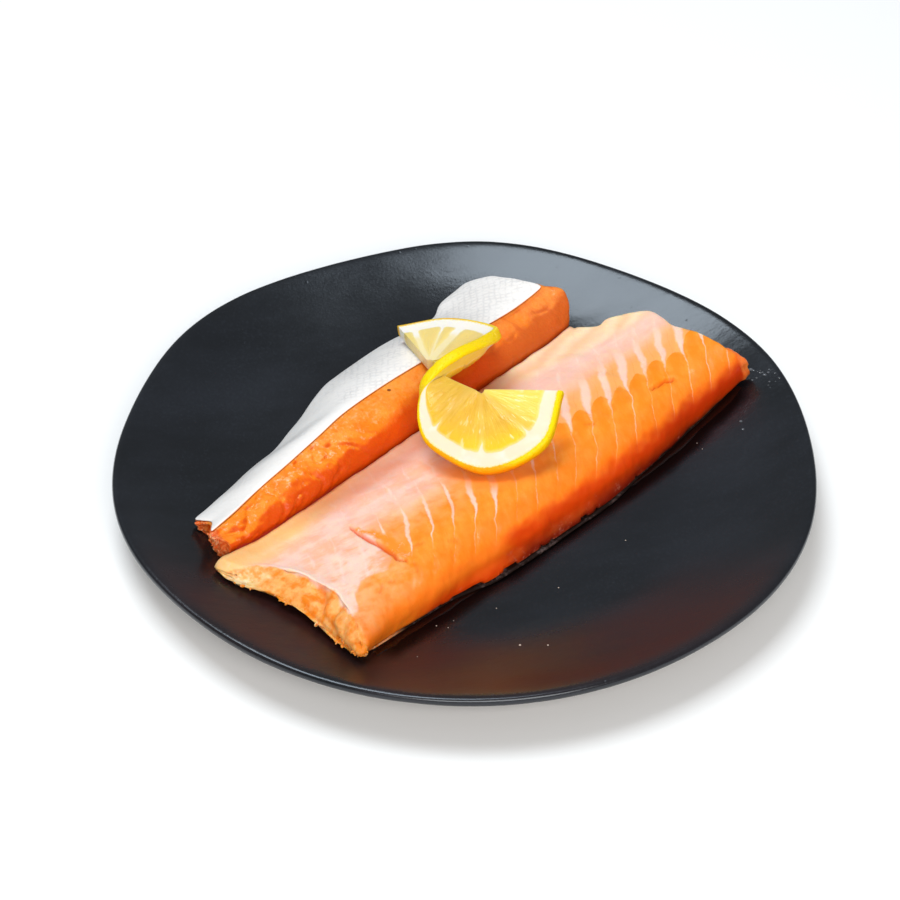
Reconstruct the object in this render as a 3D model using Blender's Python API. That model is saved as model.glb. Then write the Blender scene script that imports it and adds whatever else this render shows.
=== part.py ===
"""Two strips of salmon belly on a dark hand-formed plate, with a twist of lemon.

Metres, +Z up.  The table is z = 0 and the plate's centre is the origin.  Both strips lie at 45
degrees: a point of a strip is given by "along", which runs to the upper right between +X and +Y,
and "across", which runs to the upper left between -X and +Y.  The front strip lies skin down,
the rear strip is turned over so that its skin faces up and to the left.
"""
import math

import bmesh
import bpy
from mathutils import Vector, noise

MM = 0.001

# ---- plate -------------------------------------------------------------------------------------
PLATE_RADIUS = 135 * MM
PLATE_FLOOR_TOP = 6.5 * MM
PLATE_FLOOR_RADIUS = 80 * MM
PLATE_WALL_RISE = 15.5 * MM
PLATE_WALL_POWER = 1.8
PLATE_LIP_THICKNESS = 4.2 * MM
PLATE_FOOT_RADIUS = 74 * MM
PLATE_FOOT_HEIGHT = 2.4 * MM
PLATE_SIDES = 68
# the hand-formed outline: waves round the rim, its height in mm and the angle of a crest
RIM_WAVES = ((2, 0.39, -174), (3, 0.40, -126), (5, 0.23, 36), (6, 1.16, 148), (7, 0.73, -119))
RIM_WAVES_START = 60 * MM

# ---- strips ------------------------------------------------------------------------------------
PLATE_GAP = 0.45 * MM
SKIN = 0.9 * MM
SKIN_GAP = 0.5 * MM
SEAM_ACROSS = 26 * MM
SEAM_DRIFT = 0.033
SEAM_GAP = 0.9 * MM
# the walls between the muscle flakes sweep back as they run down the strip
FLAKE_PITCH = 10.85 * MM
FLAKE_START = -27 * MM
FLAKE_LEAN = 0.45
FLAKE_CURVE = 7.5
FLAKE_DEPTH = 0.6 * MM
FLAKE_SHARPNESS = 4
LUMP_SIZE = 11 * MM
LUMP_HEIGHT = 0.7 * MM

# front strip: (along, value) or (across, value) in mm
FRONT_LENGTH = (-100 * MM, 114 * MM)
FRONT_EDGE = ((-103, -53), (-97, -52), (-88, -49.6), (-79, -48), (-52, -48.3), (-20, -49.5), (20, -50),
              (60, -49.5), (84, -47.5), (118, -49))
FRONT_CROWN = ((-105, 11), (-90, 13), (-40, 14), (20, 14.5), (70, 16.5), (118, 16.5))
FRONT_BELLY = ((-105, 3.6), (-60, 4.0), (0, 4.4), (60, 4.6), (118, 5.0))
FRONT_SHOULDER = ((-105, 12), (-76, 12), (-57, 8), (-38, 14), (-22, 7.5), (0, 9), (50, 12), (113, 17))
FRONT_NEAR_END = ((-53, -100), (-48, -100), (-42, -97.5), (-35, -95), (-24, -91), (-10, -91), (2, -93.5),
                  (9, -97.5), (16, -104), (26, -104))
FRONT_NEAR_SLOPE = ((-53, 2.5), (-48, 4), (-36, 8.5), (-24, 10.5), (-10, 11.5), (2, 10.5), (9, 12),
                    (16, 6), (26, 3))
FRONT_FAR_END = ((-49, 109.5), (-44, 108.5), (-32, 108.8), (-20, 108.5), (-8, 109.2), (2, 111.5),
                 (8, 110.5), (12, 106), (16, 102.5), (26, 94))
FRONT_FAR_SLOPE = 4 * MM
FRONT_ARCH = 2.2 * MM

# rear strip
REAR_LENGTH = (-98 * MM, 88 * MM)
REAR_LEFT = ((-100, 47), (-88, 50.3), (-68, 56.1), (-53, 61.3), (-39, 67), (-23, 72.3), (-6, 76),
             (14, 78.2), (37, 79), (60, 76), (70, 80), (88, 80.5))
REAR_RIDGE = ((-100, 31), (-80, 36), (-62, 38), (-43, 41), (-24, 44.5), (0, 46), (20, 46), (45, 45),
              (70, 44), (95, 44))
REAR_HEIGHT = ((-100, 9.5), (-85, 13), (-62, 16), (-40, 17), (0, 17), (45, 17), (95, 18))
REAR_NEAR_END = ((22, -99.5), (30, -98), (38, -93.5), (48, -97))
REAR_FAR_END = ((26, 89), (33, 93), (38, 95.5), (44, 91), (50, 89), (57, 88), (64, 87.5), (72, 86),
                (78, 83), (83, 76))
REAR_EDGE_HEIGHT = 2.6 * MM
REAR_EDGE_TUCK = 3.5 * MM
REAR_BULGE_HEIGHT = 6.2 * MM

# the cut ends
RAGGED_DEPTH = 1.3 * MM
RAGGED_SIZE = 6 * MM
END_SHRINK = (0.8, 0.45, 0.12)
END_BULGE = 1.2 * MM

# ---- lemon twist -------------------------------------------------------------------------------
LEMON_THICKNESS = 5.2 * MM
# the slice is slit along a diameter to 12 mm short of its rim and opened into an S.  For each
# angle round the slice: its hub beside the slit, the middle of the spoke and the rim, in mm
LEMON_SPOKES = (
    (0, (6.2, 8.7, 39.6), (21.4, 5.7, 41.8), (36.5, 2.9, 43.8)),
    (45, (6.2, 8.7, 39.6), (17.8, -2.9, 35.8), (29.4, -14.5, 31.8)),
    (90, (6.2, 8.7, 39.6), (7.0, -4.9, 30.8), (7.6, -18.5, 22.0)),
    (128, (5.0, 9.7, 39.2), (-4.0, 0.5, 32.4), (-12.2, -7.5, 24.2)),
    (155, (1.0, 13.7, 37.6), (-8.4, 7.4, 33.3), (-17.6, 2.9, 28.4)),
    (180, (-7.7, 23.0, 34.2), (-12.6, 19.4, 34.2), (-17.0, 16.6, 34.8)),
    (205, (-10.8, 31.0, 31.6), (-7.4, 28.5, 33.6), (-11.4, 24.0, 39.4)),
    (232, (-14.4, 38.0, 28.8), (-1.6, 36.8, 31.4), (-2.4, 31.0, 42.0)),
    (254, (-14.4, 38.6, 28.6), (1.6, 44.0, 29.6), (6.8, 42.0, 38.5)),
    (277, (-14.4, 38.7, 28.5), (-0.4, 50.6, 28.4), (13.2, 58.5, 30.8)),
    (319, (-14.4, 38.7, 28.5), (-10.3, 55.0, 27.2), (-6.1, 71.2, 25.8)),
    (360, (-14.4, 38.7, 28.5), (-20.8, 54.0, 25.9), (-27.2, 69.2, 23.3)),
)


# ---- shared curves -----------------------------------------------------------------------------
def smooth_through(points, scale=MM):
    """A smooth curve y(x) through (x, y) points, flat beyond its ends; y may be a vector."""
    xs = [p[0] * scale for p in points]
    ys = [Vector(p[1]) if isinstance(p[1], tuple) else p[1] * MM for p in points]
    last = len(xs) - 1

    def slope(i):
        lo, hi = max(i - 1, 0), min(i + 1, last)
        return (ys[hi] - ys[lo]) / (xs[hi] - xs[lo])

    slopes = [slope(i) for i in range(last + 1)]

    def curve(x):
        if x <= xs[0]:
            return ys[0]
        if x >= xs[last]:
            return ys[last]
        i = max(k for k in range(last) if xs[k] <= x)
        width = xs[i + 1] - xs[i]
        t = (x - xs[i]) / width
        rise = t * t * (3 - 2 * t)
        start = t * (1 - t) ** 2 * width
        stop = t * t * (t - 1) * width
        return ys[i] * (1 - rise) + ys[i + 1] * rise + slopes[i] * start + slopes[i + 1] * stop

    return curve


def smoothstep(x, low, high):
    t = min(max((x - low) / (high - low), 0.0), 1.0)
    return t * t * (3 - 2 * t)


def mix(a, b, t):
    return a + (b - a) * t


def on_plate(along, across):
    """World X and Y of a point given along and across the strips."""
    return (along - across) / math.sqrt(2), (along + across) / math.sqrt(2)


def lumps(along, across, seed):
    """Soft uneven bumps, between -1 and 1."""
    return noise.noise(Vector((along / LUMP_SIZE, across / LUMP_SIZE, seed)))


# ---- objects -----------------------------------------------------------------------------------
def finish(name, colour, roughness):
    material = bpy.data.materials.new(name)
    material.use_nodes = True
    shader = material.node_tree.nodes["Principled BSDF"]
    shader.inputs["Base Color"].default_value = (*colour, 1)
    shader.inputs["Roughness"].default_value = roughness
    shader.inputs["Metallic"].default_value = 0
    material.diffuse_color = (*colour, 1)
    return material


def to_object(name, bm, material, sharp_angle=60):
    bmesh.ops.recalc_face_normals(bm, faces=bm.faces)
    mesh = bpy.data.meshes.new(name)
    bm.to_mesh(mesh)
    bm.free()
    mesh.materials.append(material)
    mesh.shade_smooth()
    mesh.set_sharp_from_angle(angle=math.radians(sharp_angle))
    obj = bpy.data.objects.new(name, mesh)
    bpy.context.scene.collection.objects.link(obj)
    return obj


def wrapped_solid(name, stations, ring_size, place, material):
    """A grid rolled into a tube of rings, with its two end rings filled.

    place(station, index) gives the point of one ring; the last index comes back to the first.
    """
    bm = bmesh.new()
    bmesh.ops.create_grid(bm, x_segments=stations, y_segments=ring_size, size=0.5)
    for vert in bm.verts:
        station = round((vert.co.x + 0.5) * stations)
        index = round((vert.co.y + 0.5) * ring_size) % ring_size
        vert.co = place(station, index)
    bmesh.ops.remove_doubles(bm, verts=bm.verts, dist=0.001 * MM)
    rim = [edge for edge in bm.edges if edge.is_boundary]
    caps = bmesh.ops.holes_fill(bm, edges=rim, sides=0)["faces"]
    bmesh.ops.triangulate(bm, faces=caps)
    return to_object(name, bm, material)


# ---- the plate ---------------------------------------------------------------------------------
def rim_wave(angle):
    """How far the hand-formed outline stands out from its circle."""
    waves = (high * math.cos(count * angle - math.radians(crest)) for count, high, crest in RIM_WAVES)
    return sum(waves) * MM


def wave_share(radius):
    return smoothstep(radius, RIM_WAVES_START, PLATE_RADIUS)


def wall_height(radius):
    """Height of the plate's upper face at a radius of its plain round form."""
    share = max(radius - PLATE_FLOOR_RADIUS, 0) / (PLATE_RADIUS - PLATE_FLOOR_RADIUS)
    return PLATE_FLOOR_TOP + PLATE_WALL_RISE * share ** PLATE_WALL_POWER


def plate_top(x, y):
    """Height of the plate's upper face under a world point."""
    wave = rim_wave(math.atan2(y, x))
    reach = math.hypot(x, y)
    radius = reach
    for _ in range(3):
        radius = reach - wave * wave_share(radius)
    return wall_height(min(radius, PLATE_RADIUS))


def plate_profile():
    """Half section of the plate, from the middle of its floor over the lip to the foot."""
    lip = PLATE_LIP_THICKNESS / 2
    upper = [0, 28, 54, 73, 82, 90, 98, 106, 114, 122, 129]
    points = [(r * MM, wall_height(r * MM)) for r in upper]
    lip_centre = (PLATE_RADIUS - lip, wall_height(PLATE_RADIUS - lip) - lip)
    for turn in (75, 30, -20, -70):
        angle = math.radians(turn)
        points.append((lip_centre[0] + lip * math.cos(angle), lip_centre[1] + lip * math.sin(angle)))
    for r in (122, 106, 90):
        points.append((r * MM, wall_height(r * MM) - PLATE_LIP_THICKNESS))
    points.append((PLATE_FOOT_RADIUS + 3 * MM, PLATE_FOOT_HEIGHT))
    points.append((PLATE_FOOT_RADIUS, 0))
    points.append((0, 0))
    return points


def make_plate():
    bm = bmesh.new()
    verts = [bm.verts.new((radius, 0, height)) for radius, height in plate_profile()]
    edges = [bm.edges.new(pair) for pair in zip(verts, verts[1:])]
    bmesh.ops.spin(bm, geom=verts + edges, cent=(0, 0, 0), axis=(0, 0, 1), angle=math.tau,
                   steps=PLATE_SIDES, use_merge=True)
    bmesh.ops.remove_doubles(bm, verts=bm.verts, dist=0.01 * MM)
    for vert in bm.verts:
        radius = math.hypot(vert.co.x, vert.co.y)
        if radius > RIM_WAVES_START:
            angle = math.atan2(vert.co.y, vert.co.x)
            stretch = 1 + rim_wave(angle) * wave_share(radius) / radius
            vert.co.x *= stretch
            vert.co.y *= stretch
    return to_object("plate", bm, finish("dark_glaze", (0.022, 0.026, 0.032), 0.38), sharp_angle=50)


# ---- the front strip ---------------------------------------------------------------------------
front_edge = smooth_through(FRONT_EDGE)
front_crown = smooth_through(FRONT_CROWN)
front_belly = smooth_through(FRONT_BELLY)
front_shoulder = smooth_through(FRONT_SHOULDER)
front_near_end = smooth_through(FRONT_NEAR_END)
front_near_slope = smooth_through(FRONT_NEAR_SLOPE)
front_far_end = smooth_through(FRONT_FAR_END)

FRONT_STATIONS = 86
FRONT_BOTTOM, FRONT_SIDE, FRONT_TOP, FRONT_THIN = 6, 4, 14, 1
FRONT_RING = FRONT_BOTTOM + FRONT_SIDE + FRONT_TOP + FRONT_THIN
FRONT_TUCK = 2 * MM
FRONT_SKIN_TUCK = 3.2 * MM


def seam(along):
    return SEAM_ACROSS + SEAM_DRIFT * along


def front_arch(along, across):
    """The near end lifts off the plate a little in its middle."""
    near = 1 - smoothstep(along, -100 * MM, -78 * MM)
    middle = smoothstep(across, -42 * MM, -20 * MM) * (1 - smoothstep(across, -6 * MM, 8 * MM))
    return FRONT_ARCH * near * middle


def front_under(along, across):
    return plate_top(*on_plate(along, across)) + PLATE_GAP + front_arch(along, across)


def flake_groove(along, across):
    """Share of the depth of the grooves between the muscle flakes."""
    down = -across
    phase = (along + FLAKE_LEAN * down + FLAKE_CURVE * down * down - FLAKE_START) / FLAKE_PITCH
    return (0.5 + 0.5 * math.cos(math.tau * phase)) ** FLAKE_SHARPNESS


def front_thickness(along, share):
    """Height of the flesh over its underside, share 0 at the shoulder to 1 at the belly edge."""
    crown, thin = front_crown(along), front_belly(along)
    fall = 0.35 * smoothstep(share, 0.05, 1) + 0.65 * max(share - 0.06, 0) / 0.94
    return mix(crown, thin, fall) - crown * 0.06 * (1 - smoothstep(share, 0, 0.12))


def front_seam(share):
    """Across of the strip's belly edge for a share of its length."""
    near, far = front_near_end(SEAM_ACROSS), front_far_end(SEAM_ACROSS)
    return seam(mix(near, far, share)) - SEAM_GAP / 2


def front_section(share, index):
    """Across and height of a point of the ring, both unscaled by the end faces."""
    along = mix(*FRONT_LENGTH, share)
    low, high, shoulder = front_edge(along), front_seam(share), front_shoulder(along)
    if index <= FRONT_BOTTOM:
        return mix(high, low + FRONT_TUCK, index / FRONT_BOTTOM), 0.0
    index -= FRONT_BOTTOM
    if index <= FRONT_SIDE:
        angle = math.pi / 2 * index / (FRONT_SIDE + 0.5)
        inward = shoulder * (1 - math.cos(angle) ** 0.75)
        return low + inward, front_thickness(along, 0) * math.sin(angle) ** 0.85
    index -= FRONT_SIDE
    if index <= FRONT_TOP:
        top_share = (index - 0.5) / (FRONT_TOP - 0.5)
        across = mix(low + shoulder, high, top_share ** 1.1)
        mask = smoothstep(top_share, 0.0, 0.08) * (1 - 0.7 * smoothstep(top_share, 0.45, 0.75))
        height = front_thickness(along, top_share) - FLAKE_DEPTH * flake_groove(along, across) * mask
        return across, height + LUMP_HEIGHT * lumps(along, across, 3.0)
    return high, front_belly(along) * 0.45


def ragged(across, height_share, seed):
    """How far a torn spot of a cut end stands out."""
    return RAGGED_DEPTH * noise.noise(Vector((across / RAGGED_SIZE, height_share * 1.5, seed)))


def front_along(share, across, height_share):
    """Along for a share of the length, between the cut ends."""
    lower = 1 - height_share
    tear = ragged(across, height_share, 7.0)
    near = front_near_end(across) - front_near_slope(across) * lower + tear
    thick = 1 - smoothstep(across, -30 * MM, 0)
    far = front_far_end(across) + FRONT_FAR_SLOPE * lower * thick - tear
    return mix(near, far, share)


def end_shrink(station, stations):
    """How far a ring near either end is drawn in to the middle line of its end face."""
    steps = len(END_SHRINK)
    from_end = min(station, stations - station)
    return END_SHRINK[from_end] if from_end < steps else 0.0


def length_share(station, stations):
    steps = len(END_SHRINK)
    return min(max((station - steps) / (stations - 2 * steps), 0), 1)


def front_flesh_point(station, index):
    share = length_share(station, FRONT_STATIONS)
    nominal = mix(*FRONT_LENGTH, share)
    across, height = front_section(share, index)
    shrink = end_shrink(station, FRONT_STATIONS)
    low, high = front_edge(nominal), front_seam(share)
    full = front_thickness(nominal, (across - low) / (high - low))
    height = mix(height, full / 2, shrink)
    across = mix(across, mix((low + high) / 2, across, 0.88), shrink)
    height_share = min(height / full, 1)
    along = front_along(share, across, height_share)
    if shrink:
        along += math.copysign(END_BULGE, share - 0.5) * math.sin(math.pi * height_share)
    x, y = on_plate(along, across)
    return Vector((x, y, front_under(along, across) + SKIN + SKIN_GAP + height))


def make_front_flesh():
    return wrapped_solid("front_belly_flesh", FRONT_STATIONS, FRONT_RING, front_flesh_point,
                         finish("belly_flesh", (0.95, 0.27, 0.035), 0.32))


FRONT_SKIN_STATIONS = 36
FRONT_SKIN_HALF = FRONT_BOTTOM


def front_skin_point(station, index):
    """The thin skin that the front strip lies on, a ring of two faces."""
    share = station / FRONT_SKIN_STATIONS
    upper = index > FRONT_SKIN_HALF
    step = 2 * FRONT_SKIN_HALF + 1 - index if upper else index
    low = front_edge(mix(*FRONT_LENGTH, share)) + FRONT_SKIN_TUCK
    across = mix(front_seam(share) - SKIN_GAP, low, step / FRONT_SKIN_HALF)
    along = front_along(share, across, 0.0)
    x, y = on_plate(along, across)
    return Vector((x, y, front_under(along, across) + (SKIN if upper else 0)))


def make_front_skin():
    return wrapped_solid("front_belly_skin", FRONT_SKIN_STATIONS, 2 * FRONT_SKIN_HALF + 2, front_skin_point,
                         finish("silver_skin", (0.78, 0.77, 0.74), 0.34))


# ---- the rear strip ----------------------------------------------------------------------------
rear_left = smooth_through(REAR_LEFT)
rear_ridge = smooth_through(REAR_RIDGE)
rear_height = smooth_through(REAR_HEIGHT)
rear_near_end = smooth_through(REAR_NEAR_END)
rear_far_end = smooth_through(REAR_FAR_END)

REAR_STATIONS = 56
REAR_BOTTOM, REAR_LEFT_LIP, REAR_SLOPE, REAR_SIDE, REAR_UNDERCUT = 4, 1, 7, 8, 1
REAR_RING = REAR_BOTTOM + REAR_LEFT_LIP + REAR_SLOPE + REAR_SIDE + REAR_UNDERCUT


def rear_outer_slope(along, share):
    """Across and height of the skin's outer face, share 0 at the left edge to 1 at the ridge."""
    across = mix(rear_left(along), rear_ridge(along), share)
    top = rear_height(along)
    rise = 1 - (1 - share) ** 1.7
    return across, mix(REAR_EDGE_HEIGHT, top, rise)


def rear_offset_slope(along, share, depth):
    """The same face, moved inwards along its normal by a depth."""
    across, height = rear_outer_slope(along, share)
    step = 0.02
    ahead = rear_outer_slope(along, min(share + step, 1))
    behind = rear_outer_slope(along, max(share - step, 0))
    run, rise = behind[0] - ahead[0], ahead[1] - behind[1]
    length = math.hypot(run, rise)
    return across - depth * rise / length, height - depth * run / length


def rear_section(along, index):
    low, left, ridge = seam(along) + SEAM_GAP / 2, rear_left(along), rear_ridge(along)
    skin_depth = SKIN + SKIN_GAP
    lip = 0.06
    if index <= REAR_BOTTOM:
        return mix(low + 2 * MM, left - REAR_EDGE_TUCK, index / REAR_BOTTOM), 0.0
    index -= REAR_BOTTOM
    if index <= REAR_LEFT_LIP:
        return rear_offset_slope(along, lip, skin_depth)
    index -= REAR_LEFT_LIP
    if index <= REAR_SLOPE:
        return rear_offset_slope(along, mix(lip, 1.0, index / REAR_SLOPE), skin_depth)
    index -= REAR_SLOPE
    if index <= REAR_SIDE:
        angle = math.pi / 2 * index / REAR_SIDE
        crest = rear_offset_slope(along, 1.0, skin_depth)[1]
        across = mix(ridge - 1.2 * MM, low, math.sin(angle))
        height = mix(REAR_BULGE_HEIGHT, crest, math.cos(angle) ** 0.9)
        swell = LUMP_HEIGHT * 1.5 * lumps(along, height * 1.5, 11.0) * math.sin(2 * angle)
        return max(across - swell * 0.6, low), height + swell
    return low + 0.4 * MM, REAR_BULGE_HEIGHT * 0.4


def rear_under(along, across):
    return plate_top(*on_plate(along, across)) + PLATE_GAP


def rear_along(share, across, height_share):
    tear = ragged(across, height_share, 19.0)
    return mix(rear_near_end(across) + tear, rear_far_end(across) - tear, share)


def rear_flesh_point(station, index):
    share = length_share(station, REAR_STATIONS)
    nominal = mix(*REAR_LENGTH, share)
    across, height = rear_section(nominal, index)
    left, ridge, top = rear_left(nominal), rear_ridge(nominal), rear_height(nominal)
    shrink = end_shrink(station, REAR_STATIONS)
    middle = 0.5 * mix(top, REAR_EDGE_HEIGHT, smoothstep(across, ridge, left))
    height = mix(height, middle, shrink)
    across = mix(across, mix((left + seam(nominal)) / 2, across, 0.85), shrink)
    along = rear_along(share, across, height / top)
    x, y = on_plate(along, across)
    return Vector((x, y, rear_under(along, across) + height))


def make_rear_flesh():
    return wrapped_solid("rear_belly_flesh", REAR_STATIONS, REAR_RING, rear_flesh_point,
                         finish("belly_flesh_side", (0.90, 0.20, 0.02), 0.34))


REAR_SKIN_STATIONS = 44
REAR_SKIN_HALF = 7


def rear_skin_point(station, index):
    """The skin over the left slope of the rear strip, a ring of two faces."""
    share = station / REAR_SKIN_STATIONS
    nominal = mix(*REAR_LENGTH, share)
    upper = index <= REAR_SKIN_HALF
    step = index if upper else 2 * REAR_SKIN_HALF + 1 - index
    depth = 0.0 if upper else SKIN
    across, height = rear_offset_slope(nominal, step / REAR_SKIN_HALF, depth)
    along = rear_along(share, across, 0.5)
    x, y = on_plate(along, across)
    return Vector((x, y, rear_under(along, across) + height))


def make_rear_skin():
    return wrapped_solid("rear_belly_skin", REAR_SKIN_STATIONS, 2 * REAR_SKIN_HALF + 2, rear_skin_point,
                         finish("pale_skin", (0.86, 0.84, 0.82), 0.40))


# ---- the lemon twist ---------------------------------------------------------------------------
lemon_hub = smooth_through([(turn, hub) for turn, hub, _, _ in LEMON_SPOKES], scale=1)
lemon_middle = smooth_through([(turn, middle) for turn, _, middle, _ in LEMON_SPOKES], scale=1)
lemon_rim = smooth_through([(turn, rim) for turn, _, _, rim in LEMON_SPOKES], scale=1)

LEMON_STATIONS = 56
LEMON_SPOKE_STEPS = 6
LEMON_HUB_SHARE = 0.04


def lemon_sheet(turn, share):
    """Point of the slice's middle surface, turn in degrees, share 0 at the hub to 1 at the rim."""
    hub, middle, rim = lemon_hub(turn), lemon_middle(turn), lemon_rim(turn)
    point = (hub * (1 - share) * (1 - 2 * share) + middle * 4 * share * (1 - share)
             + rim * share * (2 * share - 1))
    return point * MM


def lemon_normal(turn, share):
    step = 0.5
    low, high = max(turn - step, 0), min(turn + step, 360)
    inner, outer = max(share - 0.05, 0), min(share + 0.05, 1)
    around = lemon_sheet(high, share) - lemon_sheet(low, share)
    outwards = lemon_sheet(turn, outer) - lemon_sheet(turn, inner)
    return outwards.cross(around).normalized()


def lemon_point(station, index):
    """The slice's two faces; share 0 at the hub is kept a little open."""
    turn = 360 * station / LEMON_STATIONS
    first_face = index <= LEMON_SPOKE_STEPS
    step = index if first_face else 2 * LEMON_SPOKE_STEPS + 1 - index
    share = mix(LEMON_HUB_SHARE, 1, step / LEMON_SPOKE_STEPS)
    side = 0.5 if first_face else -0.5
    return lemon_sheet(turn, share) + lemon_normal(turn, share) * LEMON_THICKNESS * side


def make_lemon():
    return wrapped_solid("lemon_twist", LEMON_STATIONS, 2 * LEMON_SPOKE_STEPS + 2, lemon_point,
                         finish("lemon", (0.97, 0.72, 0.05), 0.42))


def main():
    for obj in list(bpy.data.objects):
        bpy.data.objects.remove(obj)
    make_plate()
    make_front_flesh()
    make_front_skin()
    make_rear_flesh()
    make_rear_skin()
    make_lemon()


main()
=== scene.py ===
"""Two strips of raw salmon belly and a twist of lemon on a dark, hand-formed plate.

Finishes, small bits, light and camera, in metres with +Z up, in the frame of the solids.  Patterns
on the fish are written in millimetres: "along" runs to the upper right, at 45 degrees between +X
and +Y, and "across" to the upper left, between -X and +Y.
"""
import math
import random

import bmesh
import bpy
import numpy as np
from mathutils import Matrix, Vector, noise
from mathutils.bvhtree import BVHTree


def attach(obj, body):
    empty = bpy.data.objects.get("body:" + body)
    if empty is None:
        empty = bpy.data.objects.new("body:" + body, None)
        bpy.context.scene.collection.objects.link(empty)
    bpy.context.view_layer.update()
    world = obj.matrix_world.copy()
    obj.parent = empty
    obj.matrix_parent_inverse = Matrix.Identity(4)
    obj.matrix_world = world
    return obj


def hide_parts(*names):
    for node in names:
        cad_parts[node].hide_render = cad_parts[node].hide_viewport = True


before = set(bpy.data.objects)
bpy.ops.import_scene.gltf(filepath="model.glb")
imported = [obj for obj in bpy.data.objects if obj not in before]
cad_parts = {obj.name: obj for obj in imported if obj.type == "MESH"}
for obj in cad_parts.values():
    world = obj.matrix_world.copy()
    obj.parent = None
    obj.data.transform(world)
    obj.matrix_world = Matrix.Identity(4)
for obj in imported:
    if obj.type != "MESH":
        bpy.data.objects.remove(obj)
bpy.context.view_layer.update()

MM = 0.001
TO_STRIP = 1 / math.sqrt(2) / MM
SEED = 7

# ---- the strips' pattern, in mm along and across ---------
FLAKE_PITCH, FLAKE_START, FLAKE_LEAN, FLAKE_CURVE = 10.85, -27.0, 0.45, 0.0075
FAR_LEAN, FAR_SHIFT, FAR_LEAN_STARTS, FAR_LEAN_ENDS = 0.85, -5.3, 20, 60
MEMBRANE_EDGE = (
    (-110, -42), (-97, -40), (-92, -37), (-87, -31), (-80, -26), (-70, -29), (-64, -26),
    (-60, -13), (-50, -5), (-42, -8), (-30, -10), (-20, -8), (-8, -7), (10, -9), (32, -16),
    (60, -18), (84, -16), (98, -21), (116, -22))
FAT_EDGE = ((-105, 9), (-92, 8), (-75, 10), (-60, 13), (-40, 19), (0, 20), (30, 17), (60, 15),
            (85, 10), (110, 3))
CREVICE = ((-59.7, 1), (-60.6, -5.4), (-61, -11), (-60.8, -15.8), (-61.5, -21), (-61.8, -24.3),
           (-63.4, -27.7), (-61.9, -31))
RAW_BAND = ((-58.6, -2), (-57.5, -8), (-56.5, -13), (-57.5, -20), (-59, -27))
FAR_CRACK = ((73.3, -30.1), (77.5, -30.7), (80.8, -30.9), (83, -32.4))
SMALL_CRACKS = (
    ((-53.5, -27), (-50.5, -27.8)), ((-60.9, -34.5), (-62.8, -38)),
    ((-76.5, -33.6), (-80, -36.2)), ((-44, -35), (-41.5, -36.5)), ((40.5, -25.4), (42.5, -27)),
    ((-73.8, -34.4), (-72.4, -35.4)))
NEAR_FACE_CREVICE = ((-91.5, -15), (-93, -17.8), (-95.6, -22.2), (-98.7, -24.9))

# the torn edges as (across, along), and the lower edge as (along, across)
NEAR_EDGE = ((-53, -100), (-48, -100), (-42, -97.5), (-35, -95), (-24, -91), (-10, -91),
             (2, -93.5), (9, -97), (13, -104), (17, -112), (26, -114))
FAR_EDGE = ((-50, 108.5), (-32, 108.6), (-8, 110), (2, 118), (26, 120))
FRONT_EDGE = ((-103, -53), (-97, -52), (-88, -49.6), (-79, -48), (-52, -48.3), (-20, -49.5),
              (20, -50), (60, -49.5), (84, -47.5), (108, -48))
FAR_STEP_DEPTH = 3.2
SKIN_TUCK = 3.2
REAR_SPECK = (0.9, 43.4, 22.5)
SCALE_ALONG, SCALE_ACROSS = 3.4, 3.6

# ---- wet line, painted-shadow film, painted-shade seam; mm: both ends along the strip, width, height above glaze ----
JUICE_STARTS, JUICE_ENDS, JUICE_WIDTH, JUICE_LIFT = -96, 108, 1.1, 0.10
FILM_STARTS, FILM_ENDS, FILM_WIDTH, FILM_LIFT = -98, 112, 9.5, 0.07
SEAM_STARTS, SEAM_ENDS, SEAM_HALF_WIDTH, SEAM_LIFT = -96, 90, 1.6, 4.6
SEAM_ACROSS, SEAM_DRIFT = 26.0, 0.033
PLATE_FOOT = 3

# ---- the lemon, in degrees and mm ------------------------
# at each turn its hub beside the slit, the middle of the spoke and the rim
LEMON_SPOKES = (
    (0, (6.2, 8.7, 39.6), (21.4, 5.7, 41.8), (36.5, 2.9, 43.8)),
    (45, (6.2, 8.7, 39.6), (17.8, -2.9, 35.8), (29.4, -14.5, 31.8)),
    (90, (6.2, 8.7, 39.6), (7.0, -4.9, 30.8), (7.6, -18.5, 22.0)),
    (128, (5.0, 9.7, 39.2), (-4.0, 0.5, 32.4), (-12.2, -7.5, 24.2)),
    (155, (1.0, 13.7, 37.6), (-8.4, 7.4, 33.3), (-17.6, 2.9, 28.4)),
    (180, (-7.7, 23.0, 34.2), (-12.6, 19.4, 34.2), (-17.0, 16.6, 34.8)),
    (205, (-10.8, 31.0, 31.6), (-7.4, 28.5, 33.6), (-11.4, 24.0, 39.4)),
    (232, (-14.4, 38.0, 28.8), (-1.6, 36.8, 31.4), (-2.4, 31.0, 42.0)),
    (254, (-14.4, 38.6, 28.6), (1.6, 44.0, 29.6), (6.8, 42.0, 38.5)),
    (277, (-14.4, 38.7, 28.5), (-0.4, 50.6, 28.4), (13.2, 58.5, 30.8)),
    (319, (-14.4, 38.7, 28.5), (-10.3, 55.0, 27.2), (-6.1, 71.2, 25.8)),
    (360, (-14.4, 38.7, 28.5), (-20.8, 54.0, 25.9), (-27.2, 69.2, 23.3)),
)
# the walls between the segments: turn and half width
LEMON_MEMBRANES = ((46, 0.6), (93, 1.3), (138, 0.8), (188, 0.5), (228, 0.5), (265, 0.5),
                   (303, 1.6), (321, 0.45), (349, 1.1))
LEMON_THICKNESS = 5.2
LEMON_REACH = 31
# shares of the reach: where the two faces start at the hub, the pulp ends and the rind starts
HUB_SHARE, PULP_SHARE, RIND_SHARE = 0.04, 0.78, 0.955
LEMON_STATIONS, LEMON_FACE_STEPS, LEMON_RIM_STEPS = 300, 34, 8

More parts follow.
